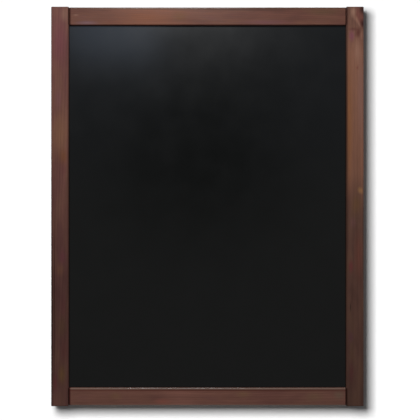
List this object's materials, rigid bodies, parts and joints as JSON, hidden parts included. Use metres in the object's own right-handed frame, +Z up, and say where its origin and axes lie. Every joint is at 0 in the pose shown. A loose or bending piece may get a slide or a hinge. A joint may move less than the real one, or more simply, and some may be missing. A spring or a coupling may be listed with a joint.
{
  "type": "wall chalkboard",
  "caption": "Framed wall chalkboard: stained softwood frame round a black writing panel, with swinging hanging rings and rubber bumpers on the back.",
  "frame": {"origin": "on the wall's plane, midway between the two points where the wall hooks bear in the hanging rings, 100 mm below the top of the frame", "axes": "+X to the right as seen from the front, +Y from the board to the wall, +Z up; the face that is written on looks along -Y"},
  "size_m": [0.704, 0.023, 0.9],
  "materials": {
    "stained_pine": "dark walnut stain under a thin satin lacquer",
    "black_laminate": "satin black melamine laminate",
    "plain_laminate": "matt black balancing laminate",
    "hardboard": "raw pressed wood fibre",
    "beech": "raw turned beech",
    "zinc_strip": "bright zinc plated strip",
    "zinc_wire": "bright zinc plated wire",
    "zinc_screw": "zinc plated",
    "black_rubber": "matt moulded rubber"
  },
  "bodies": {
    "board": {"left_stile": "stained_pine", "right_stile": "stained_pine", "top_rail": "stained_pine", "bottom_rail": "stained_pine", "writing_sheet": "black_laminate", "backing_sheet": "plain_laminate", "panel_core": "hardboard", "dowel_top_left_outer": "beech", "dowel_top_left_inner": "beech", "dowel_top_right_outer": "beech", "dowel_top_right_inner": "beech", "dowel_bottom_left_outer": "beech", "dowel_bottom_left_inner": "beech", "dowel_bottom_right_outer": "beech", "dowel_bottom_right_inner": "beech", "hanger_strap_left": "zinc_strip", "hanger_strap_right": "zinc_strip", "hanger_screw_left_upper": "zinc_screw", "hanger_screw_left_lower": "zinc_screw", "hanger_screw_right_upper": "zinc_screw", "hanger_screw_right_lower": "zinc_screw", "bumper_left": "black_rubber", "bumper_right": "black_rubber"},
    "ring_left": {"hanger_ring_left": "zinc_wire"},
    "ring_right": {"hanger_ring_right": "zinc_wire"}
  },
  "joints": [
    {"name": "ring_left_swing", "type": "hinge", "parent": "board", "child": "ring_left", "pos_m": [-0.332, -0.00325, -0.01325], "axis": [-1, 0, 0], "range_deg": [-4, 180]},
    {"name": "ring_right_swing", "type": "hinge", "parent": "board", "child": "ring_right", "pos_m": [0.332, -0.00325, -0.01325], "axis": [-1, 0, 0], "range_deg": [-4, 180]}
  ]
}
